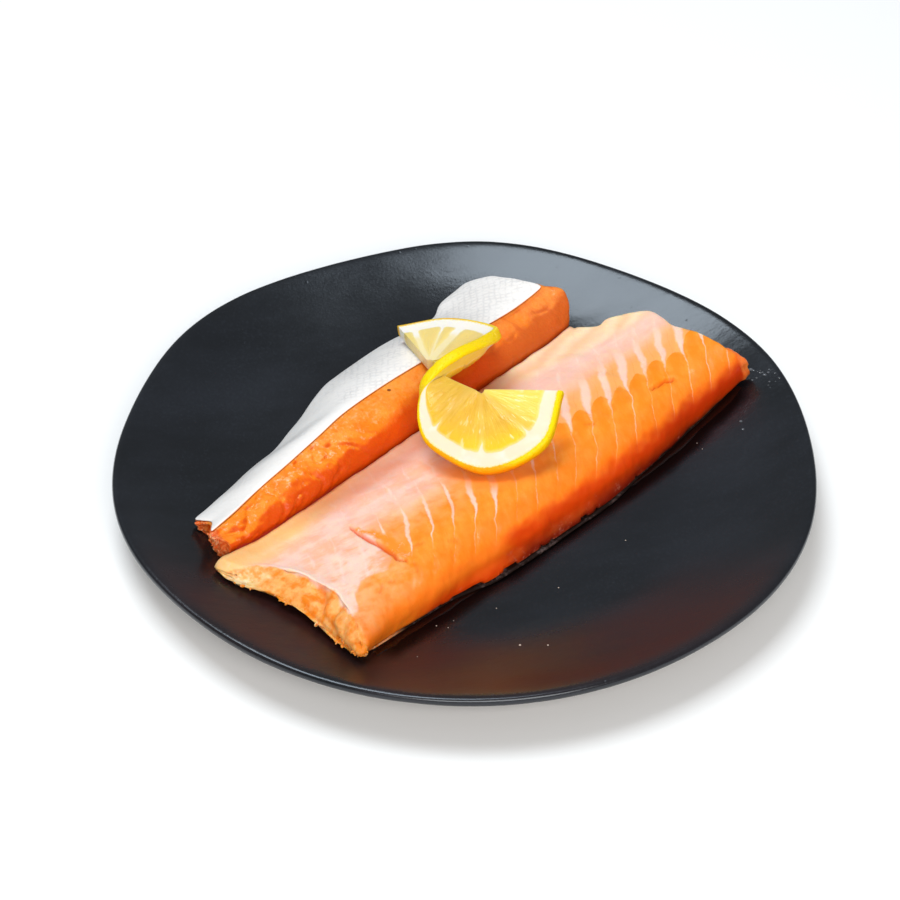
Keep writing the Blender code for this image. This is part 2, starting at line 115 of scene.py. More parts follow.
# ---- how deep red, green and blue go into each wet thing, and the plate's cool shine ----
FLESH_GLOW, REAR_GLOW, LEMON_GLOW = (1.0, 0.22, 0.06), (1.0, 0.24, 0.06), (1.0, 0.85, 0.30)
UNDER_SKIN_GLOW, PALE_SKIN_GLOW = (1.0, 0.5, 0.3), (1.0, 0.75, 0.6)
GLAZE_SHEEN = (0.83, 0.91, 1.0, 1)

# ---- light and camera ------------------------------------
KEY_POWER, KEY_TINT = 15.5, (0.90, 0.96, 1.0)
FILL_POWER, FILL_TINT = 39, (1.0, 0.965, 0.91)
AIR_STRENGTH, AIR_TINT = 0.26, (0.9, 0.94, 1.0, 1)
VIEW_ELEVATION = 40
VIEW_DISTANCE = 0.86
VIEW_TARGET = Vector((-0.0061, -0.0024, 0.020))
VIEW_LENS = 90


# ---- curves ----------------------------------------------
def smoothstep(x, low, high):
    t = min(max((x - low) / (high - low), 0.0), 1.0)
    return t * t * (3 - 2 * t)


def between(x, rise, fall):
    """1 between a rise and a fall, each a (low, high), and 0 outside them."""
    return smoothstep(x, *rise) * (1 - smoothstep(x, *fall))


def mix(a, b, t):
    return a + (b - a) * t


def read_curve(points, x):
    return float(np.interp(x, [p[0] for p in points], [p[1] for p in points]))


def smooth_through(points):
    """A smooth curve through (x, vector) points, flat beyond its ends."""
    xs = [x for x, _ in points]
    ys = [Vector(y) for _, y in points]
    last = len(xs) - 1

    def slope(i):
        low, high = max(i - 1, 0), min(i + 1, last)
        return (ys[high] - ys[low]) / (xs[high] - xs[low])

    def curve(x):
        if x <= xs[0]:
            return ys[0]
        if x >= xs[last]:
            return ys[last]
        i = max(k for k in range(last) if xs[k] <= x)
        width = xs[i + 1] - xs[i]
        t = (x - xs[i]) / width
        rise = t * t * (3 - 2 * t)
        start, stop = t * (1 - t) ** 2 * width, t * t * (t - 1) * width
        return ys[i] * (1 - rise) + ys[i + 1] * rise + slope(i) * start + slope(i + 1) * stop

    return curve


def eased(x, low, high):
    """A smooth rise from 0 to 1 of a number or of a shader value."""
    return x.step(low, high) if isinstance(x, Value) else smoothstep(x, low, high)


def flake_phase(along, across):
    """Counts the walls between the muscle flakes; whole numbers lie on a wall.

    Takes numbers or shader values.
    """
    down = 0 - across
    bent = down * FLAKE_LEAN + down * down * FLAKE_CURVE
    straight = down * FAR_LEAN + FAR_SHIFT
    far = eased(along, FAR_LEAN_STARTS, FAR_LEAN_ENDS)
    return (along + bent + (straight - bent) * far - FLAKE_START) / FLAKE_PITCH


def path_distance(path, along, across):
    """Distance in mm to a bent line and the share of its length, both of the nearest point."""
    best, best_share = 1e9, 0.0
    here = Vector((along, across))
    for i, (start, stop) in enumerate(zip(path, path[1:])):
        start, stop = Vector(start), Vector(stop)
        line = stop - start
        t = min(max((here - start).dot(line) / line.length_squared, 0), 1)
        distance = (here - start - line * t).length
        if distance < best:
            best, best_share = distance, (i + t) / (len(path) - 1)
    return best, best_share


# ---- meshes ----------------------------------------------
def strip_place(point):
    return (point.x + point.y) * TO_STRIP, (point.y - point.x) * TO_STRIP


def world_place(along, across):
    return (along - across) / TO_STRIP / 2, (along + across) / TO_STRIP / 2


def rough(point, size, seed):
    """Uneven bumps of a size in mm, between -1 and 1."""
    return noise.noise(point / (size * MM) + Vector((seed, -seed, seed)))


def crease(point, size, seed, width=0.16):
    """1 along winding creases that lie about a size apart, in mm, falling to 0 beside them."""
    return 1 - smoothstep(abs(rough(point, size, seed)), 0.0, width)


def add_object(name, mesh):
    mesh.shade_smooth()
    obj = bpy.data.objects.new(name, mesh)
    bpy.context.scene.collection.objects.link(obj)
    return obj


def mesh_object(name, bm):
    mesh = bpy.data.meshes.new(name)
    bm.to_mesh(mesh)
    bm.free()
    return add_object(name, mesh)


def refined(node, name, levels, corner=math.pi):
    """A merged and subdivided copy of a solid; edges sharper than the corner angle stay crisp."""
    bm = bmesh.new()
    bm.from_mesh(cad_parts[node].data)
    bmesh.ops.remove_doubles(bm, verts=bm.verts, dist=0.01 * MM)
    bmesh.ops.join_triangles(bm, faces=bm.faces, angle_face_threshold=math.radians(50),
                             angle_shape_threshold=math.radians(70))
    crispness = bm.edges.layers.float.new("crease_edge")
    for edge in bm.edges:
        if edge.is_manifold and edge.calc_face_angle() > corner:
            edge[crispness] = 0.8
    coarse = mesh_object(name + "_coarse", bm)
    finer = coarse.modifiers.new("Subdivision", "SUBSURF")
    finer.levels = finer.render_levels = levels
    seen = coarse.evaluated_get(bpy.context.evaluated_depsgraph_get())
    mesh = bpy.data.meshes.new_from_object(seen)
    bpy.data.objects.remove(coarse)
    return add_object(name, mesh)


def points_and_normals(obj):
    normals = [normal.vector.copy() for normal in obj.data.vertex_normals]
    return list(zip(obj.data.vertices, normals))


def push_out(obj, height_at):
    """Moves each point along its normal by height_at(point, normal), in mm."""
    for vert, normal in points_and_normals(obj):
        vert.co += normal * height_at(vert.co, normal) * MM
    obj.data.update()


def shift(obj, move_at):
    """Moves each point by move_at(along, across, height): mm along and mm across the strips."""
    for vert in obj.data.vertices:
        move = move_at(*strip_place(vert.co), vert.co.z / MM)
        vert.co += Vector((*world_place(*move), 0))
    obj.data.update()


def mark_points(obj, **values):
    """Stores value_at(point, normal) on the points of a mesh under each given name."""
    points = points_and_normals(obj)
    for name, value_at in values.items():
        layer = obj.data.attributes.new(name, "FLOAT", "POINT")
        found = [value_at(vert.co, normal) for vert, normal in points]
        layer.data.foreach_set("value", np.array(found, np.float32))


def surface_tree(obj):
    """The faces of a piece, ready to be searched for the nearest one or hit by a ray."""
    return BVHTree.FromObject(obj, bpy.context.evaluated_depsgraph_get())


def belongs(obj, material, slot, *nodes):
    """Gives a piece its finish; it moves with the plate and stands for named solids. The slot is
    not used.
    """
    obj.data.materials.append(material)
    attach(obj, "root")
    if nodes:
        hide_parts(*nodes)
    return obj


# ---- shader maths ----------------------------------------
class Value:
    """A number on a shader socket, so that an expression on it adds the Math nodes."""

    def __init__(self, paint, socket):
        self.paint = paint
        self.socket = socket

    def maths(self, operation, *others):
        return self.paint.node("ShaderNodeMath", {"operation": operation}, [self, *others])

    def __add__(self, other):
        return self.maths("ADD", other)

    def __sub__(self, other):
        return self.maths("SUBTRACT", other)

    def __rsub__(self, other):
        return self.paint.node("ShaderNodeMath", {"operation": "SUBTRACT"}, [other, self])

    def __mul__(self, other):
        return self.maths("MULTIPLY", other)

    def __truediv__(self, other):
        return self.maths("DIVIDE", other)

    def __pow__(self, other):
        return self.maths("POWER", other)

    def __abs__(self):
        return self.maths("ABSOLUTE")

    __radd__ = __add__
    __rmul__ = __mul__

    def least(self, other):
        return self.maths("MINIMUM", other)

    def most(self, other):
        return self.maths("MAXIMUM", other)

    def sine(self):
        return self.maths("SINE")

    def wrapped(self):
        """Distance to the nearest whole number, 0 to 0.5."""
        return abs(self.maths("FRACT") - 0.5) * -1 + 0.5

    def step(self, low, high):
        """0 below low, 1 above high, smooth between; high may be the smaller one."""
        if high < low:
            return 1 - self.step(high, low)
        settings = {"interpolation_type": "SMOOTHSTEP", "clamp": True}
        return self.paint.node("ShaderNodeMapRange", settings, [self, low, high, 0, 1])


class Paint:
    """One material and the nodes that make it."""

    def __init__(self, name):
        self.material = bpy.data.materials.new(name)
        self.material.use_nodes = True
        self.tree = self.material.node_tree
        self.shader = self.tree.nodes["Principled BSDF"]
        place = self.node("ShaderNodeTexCoord", output="Object")
        x, y, z = (self.node("ShaderNodeSeparateXYZ", inputs=[place], output=i) for i in range(3))
        self.along = (x + y) * TO_STRIP
        self.across = (y - x) * TO_STRIP
        self.x, self.y, self.height = x / MM, y / MM, z / MM

    def node(self, kind, settings=None, inputs=(), output=0):
        """Adds a node: its settings first, then the values or links of its sockets."""
        made = self.tree.nodes.new(kind)
        for name, value in (settings or {}).items():
            setattr(made, name, value)
        pairs = inputs.items() if isinstance(inputs, dict) else enumerate(inputs)
        for key, value in pairs:
            self.feed(made.inputs[key], value)
        return Value(self, made.outputs[output])

    def feed(self, socket, value):
        if isinstance(value, Value):
            self.tree.links.new(value.socket, socket)
        else:
            socket.default_value = value

    def set(self, **sockets):
        """Sets or links sockets of the surface shader: Base_Color means Base Color."""
        for name, value in sockets.items():
            self.feed(self.shader.inputs[name.replace("_", " ")], value)

    def blend(self, low, high, share):
        """A colour between two colours; each is a six-digit code or a colour socket."""
        low, high = (shade(c) if isinstance(c, str) else c for c in (low, high))
        inputs = {0: share, 6: low, 7: high}
        return self.node("ShaderNodeMix", {"data_type": "RGBA"}, inputs, output=2)

    def over(self, colour, *layers):
        """Lays (colour, share) layers over a colour, the last on top."""
        for cover, share in layers:
            colour = self.blend(colour, cover, share)
        return colour

    def point(self, x, y, z=0.0):
        return self.node("ShaderNodeCombineXYZ", inputs=[x, y, z])

    def strip_point(self):
        """The place in mm along and across the strips and above the table."""
        return self.point(self.along, self.across, self.height)

    def world_point(self):
        """The place in mm along the world's axes."""
        return self.point(self.x, self.y, self.height)

    def cloud(self, place, scale, detail=2.0, roughness=0.5):
        """Noise between 0 and 1."""
        inputs = {"Vector": place, "Scale": scale, "Detail": detail, "Roughness": roughness}
        return self.node("ShaderNodeTexNoise", inputs=inputs)

    def cells(self, place, scale, feature="F1"):
        """Distance inside uneven cells."""
        inputs = {"Vector": place, "Scale": scale}
        return self.node("ShaderNodeTexVoronoi", {"feature": feature}, inputs)

    def mark(self, name):
        """A number stored on the mesh's points."""
        return self.node("ShaderNodeAttribute", {"attribute_name": name}, output="Fac")

    def bump(self, height, distance, strength=1.0, under=None):
        inputs = {"Height": height, "Distance": distance, "Strength": strength}
        if under is not None:
            inputs["Normal"] = under
        return self.node("ShaderNodeBump", inputs=inputs)


def shade(code):
    """A linear (red, green, blue, 1) from a six-digit sRGB code."""
    parts = [int(code[i:i + 2], 16) / 255 for i in (0, 2, 4)]
    return (*(c / 12.92 if c <= 0.04045 else ((c + 0.055) / 1.055) ** 2.4 for c in parts), 1)


def moist(paint, subsurface, radius, coat_roughness=0.06, depth=0.005):
    """The constant settings that all wet flesh, skin and fruit share."""
    paint.set(Subsurface_Weight=subsurface, Subsurface_Radius=radius, Subsurface_Scale=depth,
              Coat_Roughness=coat_roughness, IOR=1.38, Coat_IOR=1.33, Specular_IOR_Level=0.25)


# ---- the front strip -------------------------------------
def beyond_near_edge(point):
    """How many mm a point lies past the torn upper edge of the near end."""
    along, across = strip_place(point)
    return (read_curve(NEAR_EDGE, across) - along
            + 0.9 * rough(point, 5, 6.0) + 0.4 * rough(point, 1.8, 6.5))


def beyond_far_edge(point):
    along, across = strip_place(point)
    return along - read_curve(FAR_EDGE, across) + 0.9 * rough(point, 4, 7.0)


def cut_at(point, _=None):
    """1 on the torn face at either end."""
    near = smoothstep(beyond_near_edge(point), -0.5, 0.5)
    return max(near, smoothstep(beyond_far_edge(point), -0.5, 1.0))


def below_membrane(point, _):
    """How many mm a point lies below the edge of the pink membrane."""
    along, across = strip_place(point)
    return read_curve(MEMBRANE_EDGE, along) - across - 1.5 * rough(point, 8, 2.0)


def lip_at(point, _):
    """1 on the pale rim of the membrane above the near cut."""
    _, across = strip_place(point)
    rim = between(beyond_near_edge(point), (-5.0, -0.8), (-0.3, 0.3))
    return rim * between(across, (-44, -30), (0, 8))


def fat_at(point, _):
    """1 on the golden layer along the upper left side."""
    along, across = strip_place(point)
    edge = read_curve(FAT_EDGE, along)
    return smoothstep(across + 1.5 * rough(point, 14, 5.0), edge - 3, edge + 6)


def crevice_at(point, _=None):
    """1 deep in the crevice and the far crack, less in the small cracks; painted shade goes there.
    """
    along, across = strip_place(point)
    across += 0.8 * rough(point, 3, 9.0)
    distance, share = path_distance(CREVICE, along, across)
    half_width = 0.8 + 0.9 * math.sin(math.pi * min(share * 1.1, 1))
    depth = 1 - smoothstep(distance, 0.2, half_width)
    distance, _ = path_distance(FAR_CRACK, along, across)
    depth = max(depth, 1 - smoothstep(distance, 0.2, 1.3))
    for path in SMALL_CRACKS:
        distance, _ = path_distance(path, along, across)
        depth = max(depth, 0.35 * (1 - smoothstep(distance, 0.2, 1.1)))
    return depth


def raw_at(point, _=None):
    """The torn band beside the crevice, where the membrane has come off."""
    along, across = strip_place(point)
    ragged = 2.0 * rough(point, 4, 11.0) + 1.0 * rough(point, 1.7, 11.5)
    distance, share = path_distance(RAW_BAND, along + ragged, across)
    return 1 - smoothstep(distance, 0.4 + 1.0 * share, 1.6 + 2.2 * share)


def away_from_light(point, normal):
    """1 on the steep side that faces the lower right."""
    outward = (normal.x - normal.y) / math.sqrt(2)
    return smoothstep(outward + 0.05 * rough(point, 14, 13.0), 0.35, 0.95)


def flank_shade_at(point, normal):
    """1 on the front strip's flank and on all of its foot, where its painted shade goes."""
    _, across = strip_place(point)
    foot = (1 - smoothstep(point.z / MM, 8, 12)) * (1 - smoothstep(across, -45, -40))
    return max(away_from_light(point, normal), foot)


def outward_at(point, normal):
    """How far a face turns to the lower right, 0 to 1: where the rear strip's painted shade goes.
    """
    outward = (normal.x - normal.y) / math.sqrt(2)
    return smoothstep(outward + 0.05 * rough(point, 12, 23.0), 0.05, 0.80)


def front_relief(point, normal):
    """Height in mm of the grooves, torn faces, lip, wrinkles and cracks."""
    along, across = strip_place(point)
    phase = flake_phase(along, across) + 0.07 * rough(point, 14, 1.0)
    groove = (0.5 + 0.5 * math.cos(math.tau * phase)) ** 6
    top = smoothstep(normal.z, 0.3, 0.8) * between(across, (-50, -40), (-18, 2))
    cut = cut_at(point)
    height = -0.35 * groove * top * (1 - cut)
    height += 0.25 * rough(point, 6, 3.0) + 0.10 * rough(point, 2.2, 4.0)

    crags = 1.7 * rough(point, 8.5, 6.0) + 0.6 * rough(point, 2.8, 8.0)
    crags -= 0.6 * crease(point, 9, 10.0, 0.22)
    distance, _ = path_distance(NEAR_FACE_CREVICE, along, across)
    crags -= 1.8 * (1 - smoothstep(distance, 0.3, 2.2))
    lip = math.exp(-((beyond_near_edge(point) + 0.9) / 0.9) ** 2) * smoothstep(across, -40, -30)
    height += cut * smoothstep(normal.z, -0.2, 0.3) * (crags - 0.35) + 0.35 * lip
    torn_edge = cut * between(normal.z, (-0.8, -0.2), (0.1, 0.6))
    height += torn_edge * (2.0 * rough(point, 6.5, 31.0) + 1.0 * rough(point, 2.4, 32.0) + 0.1)

    wrinkles = between(along, (-95, -85), (-45, -30)) * smoothstep(-across, 26, 34)
    height -= 0.35 * wrinkles * top * crease(point, 6, 12.0, 0.10)
    side = away_from_light(point, normal) * smoothstep(point.z / MM, 8, 12)
    height += side * (0.5 * rough(point, 9, 14.0) + 0.25 * rough(point, 3.5, 15.0))
    open_flesh = smoothstep(normal.z, 0.5, 0.9)
    return height - (1.3 * crevice_at(point) + 0.35 * raw_at(point)) * open_flesh


def spread_foot(along, across, height):
    """The flank spreads where it rests, and the far edge steps back beside the rear strip."""
    foot = (1 - smoothstep(height, 8, 14)) * (1 - smoothstep(across, -47, -43))
    middle = between(along, (-62, -30), (20, 60))
    x, y = (v / MM for v in world_place(along, across))
    back = FAR_STEP_DEPTH * between(x, (43, 46), (55, 58.5)) * smoothstep(y, 62, 76)
    return -back, -back - foot * (1.0 + 2.8 * middle)


def tuck_skin(along, across, height):
    """The skin follows the flesh, and at the torn near end it stays behind it."""
    back, out = spread_foot(along, across - 3 * (1 - smoothstep(across, -40, -30)), height)
    behind = 1 - smoothstep(along - read_curve(NEAR_EDGE, across), 0, 6)
    return back + SKIN_TUCK * behind, out * (1.6 if across < 0 else 1.0)


def front_flesh_paint():
    """Orange flakes under a pink membrane, a golden side, torn ends and a dark flank of painted
    shade.
    """
    paint = Paint("salmon_flesh_front")
    along, across, height = paint.along, paint.across, paint.height
    strip = paint.strip_point()
    grained = paint.point(along - across * 0.6, across * 0.25, height * 0.4)
    veiled = paint.point(along * 0.35, across + along * 0.15, height * 0.5)
    wide, middle, fine = (paint.cloud(strip, scale, 3) for scale in (0.055, 0.19, 0.8))
    streaks, veils = paint.cloud(grained, 0.42, 4, 0.6), paint.cloud(veiled, 0.13, 4, 0.6)
    sway = (paint.cloud(strip, 0.09, 2) - 0.5) * 0.45
    phase = flake_phase(along, across) + sway + (fine - 0.5) * 0.06
    wall = phase.wrapped() * FLAKE_PITCH * 0.78
    per_flake, per_wall = (
        paint.node("ShaderNodeTexWhiteNoise", {"noise_dimensions": "1D"},
                   {"W": (phase + offset).maths("FLOOR")}) for offset in (20.0, 40.5))

    # the pink membrane: orange arches of flakes below it, pale fingers on the walls between them
    below = paint.mark("below") + (streaks - 0.5) * 3
    far, torn = along.step(2, 34), along.step(-55, -60)
    cap = ((below - per_flake * 7 + 3) / 6).most(0).least(1)
    dome = ((wall - (1 - cap ** 0.5) * 4.3) / 0.7).step(-0.5, 0.5)
    lower = across + per_wall * 9
    wedge = lower.step(-30, -14) * across.step(-4, -14) * (per_wall * 0.9 + 0.35)
    far_room = (below + per_wall * 5).step(13, -4) * (per_wall * 0.9 + 1.0)
    room = far_room * far + wedge * (1 - far) + 0.18
    finger = 1 - ((wall - room) / (room * 0.75 + 0.25)).step(-0.5, 0.5)
    ragged = (streaks * 0.9 + fine * 0.4 + per_wall * 0.3).step(0.58, 0.98)
    broken = (below.step(26, 6) * 0.5 + 0.5) * ragged
    strong = below.step(8, 0) * far + lower.step(-32, -24) * (1 - far)
    opacity = (strong * (per_wall * 0.3 + 0.7) + broken * 0.8).least(1)
    reach = across.step(-47, -40) * (below + far * 13).step(-7, 2) * (1 - torn)
    finger = finger * opacity * reach
    edge = below + (veils - 0.5) * 14 + far * 12 - (per_flake - 0.5) * 7 * far
    film = edge.step(8, -10) * (1 - torn) + below.step(0.9, -0.9) * torn

    orange = paint.blend("F78A1C", "FF9C34", (middle * 0.6 + streaks * 0.5).step(0.36, 0.72))
    veil = below.step(22, 0) * (1 - far) * (middle * 0.5 + veils * 0.6).step(0.35, 0.70)
    orange = paint.over(
        orange,
        ("FFB25C", (fine * 0.4 + streaks * 0.6).step(0.52, 0.80) * 0.6),
        ("F2700A", across.step(-30, -44) * 0.60),
        ("FA8A10", wall.step(1.2, 3.4) * below.step(22, 12) * (far * 0.5 + 0.2)),
        ("FCBA84", veil * 0.75),
        ("FDB26A", (1 - dome) * far * 0.85))
    pink_share = (veils * 0.9 + streaks * 0.4 + far * 0.20).step(0.45, 0.85)
    pink = paint.over(
        paint.blend("FAAA78", "F6C3AE", pink_share),
        ("FAD8C8", (veils * 0.8 + middle * 0.35 + torn * 0.06).step(0.52, 0.72) * 0.8),
        ("F7C9BC", across.step(-16, 2) * 0.45),
        ("FBE2D6", (1 - wall.step(0.2, 1.2)) * streaks.step(0.45, 0.65) * 0.45))
    rich = (across - along * 0.04 + (veils - 0.5) * 6).step(16, 23) * along.step(-28, -62)
    layers = (across * 0.75 - along * 0.10 + wide * 9).sine() * 0.5 + 0.5
    gold = paint.over(
        paint.blend("F3C67C", "F6D9B4", (along + (wide - 0.5) * 60).step(-72, 10)),
        ("F5DCAA", (veils * 0.8 + middle * 0.3).step(0.50, 0.72) * 0.6),
        ("F4A92C", rich * 0.7),
        ("F2AC78", layers * along.step(-20, 40) * 0.5))
    # painted shade: the flank goes from orange to deep red away from the light, further along and
    # lower down, with painted reddish-grey highlights
    flank = paint.over(
        paint.blend("FF7C1A", "E84806", (along + (wide - 0.5) * 14).step(-35, -20)),
        ("C43002", along.step(30, 80) * 0.7),
        ("E04404", (height + (wide - 0.5) * 5).step(17, 10) * along.step(-80, -60)),
        ("7A1A06", (height + (wide - 0.5) * 4).step(16, 9) * along.step(-36, -16)),
        ("C4705A", (fine * 0.4 + middle * 0.6).step(0.56, 0.70) * height.step(16, 9) * 0.6))
    upper_meat = paint.blend("EEA052", "F6CC98", (fine * 0.5 + middle * 0.5).step(0.42, 0.62))
    meat = paint.over(
        paint.blend("F48420", "FBAE62", (middle * 0.8 + fine * 0.3).step(0.42, 0.66)),
        ("FBCB9E", (fine * 0.4 + middle * 0.6).step(0.60, 0.72) * 0.6),
        (upper_meat, across.step(0, 10)),
        (paint.blend("E25410", "F48A40", fine), along.step(80, 95)))

    raw, fibres = paint.mark("raw"), (fine * 0.5 + middle * 0.5).step(0.55, 0.66)
    # painted shadow of the rear strip on the front strip's upper edge by the seam
    painted_seam_shadow = (across + (wide - 0.5) * 5).step(6, 19) * along.step(-78, -52) * along.step(62, 30)
    colour = paint.over(
        orange,
        (pink, film * 0.95),
        ("FAD0BC", finger * 0.95),
        ("FBDDCE", paint.mark("lip") * (0.35 + middle * 0.8)),
        (gold, paint.mark("fat") * (0.75 + far * 0.15)),
        ("F8922C", raw),
        ("F9D0BC", raw * fibres * 0.8),
        # painted shade over the flank and the foot
        (flank, paint.mark("side")),
        (meat, paint.mark("cut")),
        # painted shade deep in the crevice and the cracks
        ("E05204", paint.mark("crevice") * 0.85),
        # the painted shadow of the rear strip by the seam
        ("C06A4C", painted_seam_shadow * 0.6),
        # painted glow: brighter orange in the lemon's shadow
        ("FF9236", paint.mark("shaded") * 0.85))

    grain = paint.bump(fine * 0.6 + streaks * 0.5, 0.0004, 0.35)
    lined = paint.bump(1 - finger, 0.0003, 0.3, under=grain)
    gloss = (middle * 0.5 + streaks * 0.6).step(0.50, 0.70) * 0.45
    paint.set(Base_Color=colour, Roughness=0.34 + fine * 0.15, Coat_Weight=gloss, Normal=lined)
    moist(paint, 0.32, FLESH_GLOW)
    return paint.material


def under_skin_paint():
    """The lower skin's edge: torn orange with silver glints at the near end, near black as painted
    shade elsewhere.
    """
    paint = Paint("silver_skin_under")
    strip = paint.strip_point()
    middle, fine = paint.cloud(strip, 0.16, 3), paint.cloud(strip, 0.7, 3)
    near = paint.along.step(-76, -88)
    torn = paint.blend("E8823C", "F2B58A", fine.step(0.40, 0.65))
    torn = paint.over(torn, ("DDE2E6", (middle * 0.8 + fine * 0.2).step(0.56, 0.62)))
    # painted shade under the flank: near black, with grey patches as painted highlights
    dark = paint.blend("1C100C", "5A4A48", (fine * 0.6 + middle * 0.5).step(0.55, 0.75))
    paint.set(Base_Color=paint.blend(dark, torn, near), Roughness=0.35 + fine * 0.2,
              Coat_Weight=near * 0.4, Normal=paint.bump(fine, 0.0004, 0.5))
    moist(paint, 0.10, UNDER_SKIN_GLOW)
    return paint.material


def crumb_paint():
    """Pale orange on the front strip's crumbs, redder on the rear strip's."""
    paint = Paint("torn_crumbs")
    spot = paint.world_point()
    broad, fine = paint.cloud(spot, 0.30, 2), paint.cloud(spot, 1.2, 2)
    front = paint.blend("F4862C", "F9BC8C", (broad * 0.7 + fine * 0.3).step(0.46, 0.66))
    rear = paint.blend("E65E1C", "F69A6C", (broad * 0.5 + fine * 0.5).step(0.42, 0.62))
    colour = paint.blend(front, rear, (paint.across - paint.along * 0.2).step(42, 46))
    paint.set(Base_Color=colour, Roughness=0.35 + fine * 0.2,
              Normal=paint.bump(fine, 0.0004, 0.5))
    moist(paint, 0.30, FLESH_GLOW)
    return paint.material


def add_crumbs(flesh, name, is_torn, count, largest, seed):
    """Small torn bits, the largest in mm, stuck along the lower edge of a torn end."""
    draw = random.Random(seed)
    rim = [vert.co.copy() for vert, normal in points_and_normals(flesh) if is_torn(vert.co, normal)]
    bm = bmesh.new()
    for spot in draw.sample(rim, min(count, len(rim))):
        size = draw.uniform(0.3, 1.0) ** 2 * largest * MM
        angle = draw.uniform(0, math.pi)
        turn = Matrix.Rotation(angle, 4, Vector([draw.uniform(-1, 1) for _ in range(3)]))
        breadth, depth = size * draw.uniform(0.4, 0.9), size * draw.uniform(0.3, 0.7)
        place = Matrix.Translation(spot) @ turn @ Matrix.Diagonal((size * 1.3, breadth, depth, 1))
        bmesh.ops.create_icosphere(bm, subdivisions=2, radius=1, matrix=place)
    bits = mesh_object(name, bm)
    push_out(bits, lambda point, _: 0.25 * rough(point, 0.9, 41.0))
    belongs(bits, crumb_paint(), "salmon_flesh")


def make_front_strip(lemon):
    flesh = refined("front_belly_flesh", "front_strip_flesh", levels=2, corner=math.radians(55))
    shift(flesh, spread_foot)
    push_out(flesh, front_relief)
    fruit = surface_tree(lemon)

    def shaded_at(point, _):
        """1 close under the lemon's lower rim, where the flesh gets a painted orange glow in the
        lemon's shadow.
        """
        along, _ = strip_place(point)
        gap = fruit.find_nearest(point)[3] / MM
        return (1 - smoothstep(gap, 2.5, 11)) * smoothstep(along, -34, -8)

    mark_points(flesh, below=below_membrane, fat=fat_at, crevice=crevice_at, raw=raw_at,
                cut=cut_at, lip=lip_at, side=flank_shade_at, shaded=shaded_at)
    belongs(flesh, front_flesh_paint(), "salmon_flesh", "front_belly_flesh")

    def is_torn(point, normal):
        clump = rough(point, 6, 43.0)
        return clump > -0.1 and beyond_near_edge(point) > 0.5 and -0.75 < normal.z < 0.05

    add_crumbs(flesh, "front_torn_crumbs", is_torn, count=150, largest=0.95, seed=SEED)
    skin = refined("front_belly_skin", "front_strip_skin", levels=1, corner=math.radians(55))
    shift(skin, tuck_skin)
    belongs(skin, under_skin_paint(), "fish_skin", "front_belly_skin")


# ---- the rear strip --------------------------------------
def rear_relief(point, normal):
    """Height in mm of the crags at the near end and of the calmer flesh beyond them."""
    along, _ = strip_place(point)
    near = 1 - smoothstep(along, -42, -8)
    crag = 0.75 * rough(point, 7, 12.0) + 0.3 * rough(point, 2.4, 15.0)
    crag -= 0.8 * crease(point, 9, 14.0, 0.14)
    calm = 0.40 * rough(point, 8, 16.0) + 0.12 * rough(point, 2.5, 17.0)
    upright = Vector((point.x, point.y, point.z * 0.3))
    calm -= 0.20 * smoothstep(along, 40, 60) * crease(upright, 7, 18.0, 0.12)
    return mix(calm, crag, near) * smoothstep(normal.z, -0.6, 0.0)


def draw_in(along, across, _):
    """The rear strip's outer edge runs straighter, and its near end fuller, than the solid."""
    bend = between(along, (-66, -40), (-30, 0)) * smoothstep(across, 43, 60)
    end = (1 - smoothstep(along, -98, -86)) * between(across, (24, 30), (40, 50))
    return -3.4 * end, -4.2 * bend


def rear_flesh_paint():
    """Orange with pale glints and a painted lighter top, darker and redder as painted shade to the
    lower right.
    """
    paint = Paint("salmon_flesh_rear")
    along, across, height = paint.along, paint.across, paint.height
    strip = paint.strip_point()
    wide, fine = paint.cloud(strip, 0.10, 3), paint.cloud(strip, 0.9, 3)
    bands = paint.cloud(paint.point(along, across * 0.3, height * 0.2), 0.22, 3, 0.6)
    glints = paint.cloud(paint.point(along, across, height * 1.5), 0.42, 4, 0.65)
    orange = paint.blend("F07A0A", "FA9227", (wide * 0.5 + bands * 0.6).step(0.4, 0.75))
    # painted light: the top by the skin is lighter
    edge = (height + (glints - 0.5) * 9 + (wide - 0.5) * 4).step(20.5, 24)
    pale = (glints * 0.7 + fine * 0.3 + (height - 21) * 0.006).step(0.53, 0.63)
    # painted shade: darker and redder on faces turned to the lower right, away from the light
    turn_shade = paint.mark("outward") + (bands - 0.5) * 0.22 + along.step(-60, 60) * 0.30
    outer = paint.blend("D64A04", "CA5C1E", along.step(35, 60))
    crumbs = paint.blend("D8541A", "EE8850", (fine * 0.6 + glints * 0.4).step(0.42, 0.62))
    end = (along - (across - 30).most(0) * 0.25 + (fine - 0.5) * 3).step(-97.5, -99.5)
    speck = paint.node("ShaderNodeVectorMath", {"operation": "DISTANCE"}, [strip, REAR_SPECK],
                       output="Value")
    colour = paint.over(
        orange,
        ("FDAA56", edge * 0.4),
        ("EE7A2C", along.step(35, 70) * (bands + 0.1).step(0.40, 0.65) * 0.7),
        ("FBC8A0", pale * along.step(10, -45) * 0.5),
        ("D04A0C", along.step(35, 60) * bands.step(0.52, 0.66) * 0.45),
        (outer, turn_shade.step(0.30, 0.95) * 0.95),
        # painted shade low down by the seam
        ("C83A04", (height + (wide - 0.5) * 2).step(12.5, 9.5) * 0.6),
        # the torn near end, with painted shade under it below 11 mm
        (paint.blend(crumbs, "4A1A0C", height.step(11, 8)), end),
        ("5A1608", speck.step(1.1, 0.5) * 0.85))
    paint.set(Base_Color=colour, Roughness=0.34 + fine * 0.15,
              Coat_Weight=glints.step(0.45, 0.62) * 0.5,
              Normal=paint.bump(fine * 0.7 + glints, 0.0006, 0.5))
    moist(paint, 0.22, REAR_GLOW)
    return paint.material


